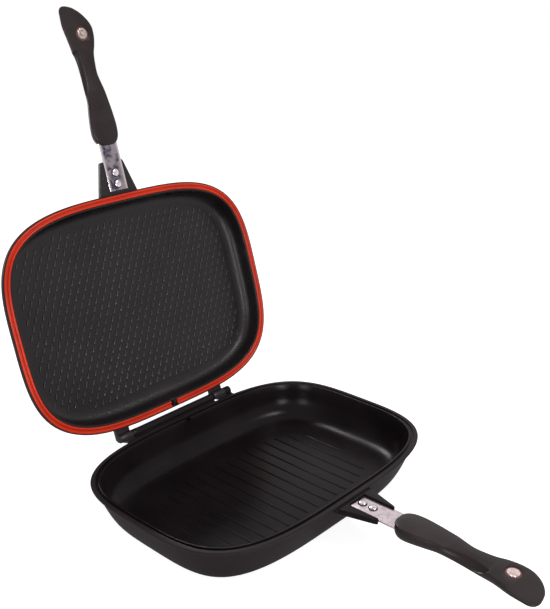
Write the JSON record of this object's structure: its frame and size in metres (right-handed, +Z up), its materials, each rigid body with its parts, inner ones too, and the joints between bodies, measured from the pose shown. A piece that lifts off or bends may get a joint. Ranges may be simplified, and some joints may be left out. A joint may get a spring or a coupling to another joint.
{
  "type": "grill pan with lid",
  "caption": "Rounded oblong ribbed grill pan hinged to a deep lid with a flexible seal, each with its own steel tang and half round grip; magnets meet when the grips close.",
  "frame": {"origin": "centre of the flat underside the pan stands on", "axes": "+Z up, +X along the hinge and the pan's long side, the two grips point to -Y, the hinge is at +Y and the lid stands open above it"},
  "size_m": [0.3576, 0.6141, 0.5072],
  "materials": {
    "cast_coating": "dark semi-matte non-stick coating on cast metal",
    "seal_silicone": "satin red silicone",
    "polished_steel": "polished",
    "grip_plastic": "matte dark brown-black moulding",
    "magnet_plating": "satin nickel plate",
    "magnet_ring": "satin reddish ring"
  },
  "bodies": {
    "pan": {"hinge_pin_left": "polished_steel", "hinge_pin_right": "polished_steel", "pan_body": "cast_coating", "pan_grip": "grip_plastic", "pan_grip_screw_front": "polished_steel", "pan_grip_screw_rear": "polished_steel", "pan_magnet": "magnet_plating", "pan_magnet_ring": "magnet_ring", "pan_rivet_inner": "polished_steel", "pan_rivet_outer": "polished_steel", "pan_tang": "polished_steel"},
    "lid": {"lid_body": "cast_coating", "lid_grip": "grip_plastic", "lid_grip_screw_front": "polished_steel", "lid_grip_screw_rear": "polished_steel", "lid_magnet": "magnet_plating", "lid_magnet_ring": "magnet_ring", "lid_rivet_inner": "polished_steel", "lid_rivet_outer": "polished_steel", "lid_seal": "seal_silicone", "lid_tang": "polished_steel"}
  },
  "joints": [
    {"name": "lid_hinge", "type": "hinge", "parent": "pan", "child": "lid", "pos_m": [0, 0.139, 0.0445], "axis": [1, 0, 0], "range_deg": [0, 105.7]}
  ]
}
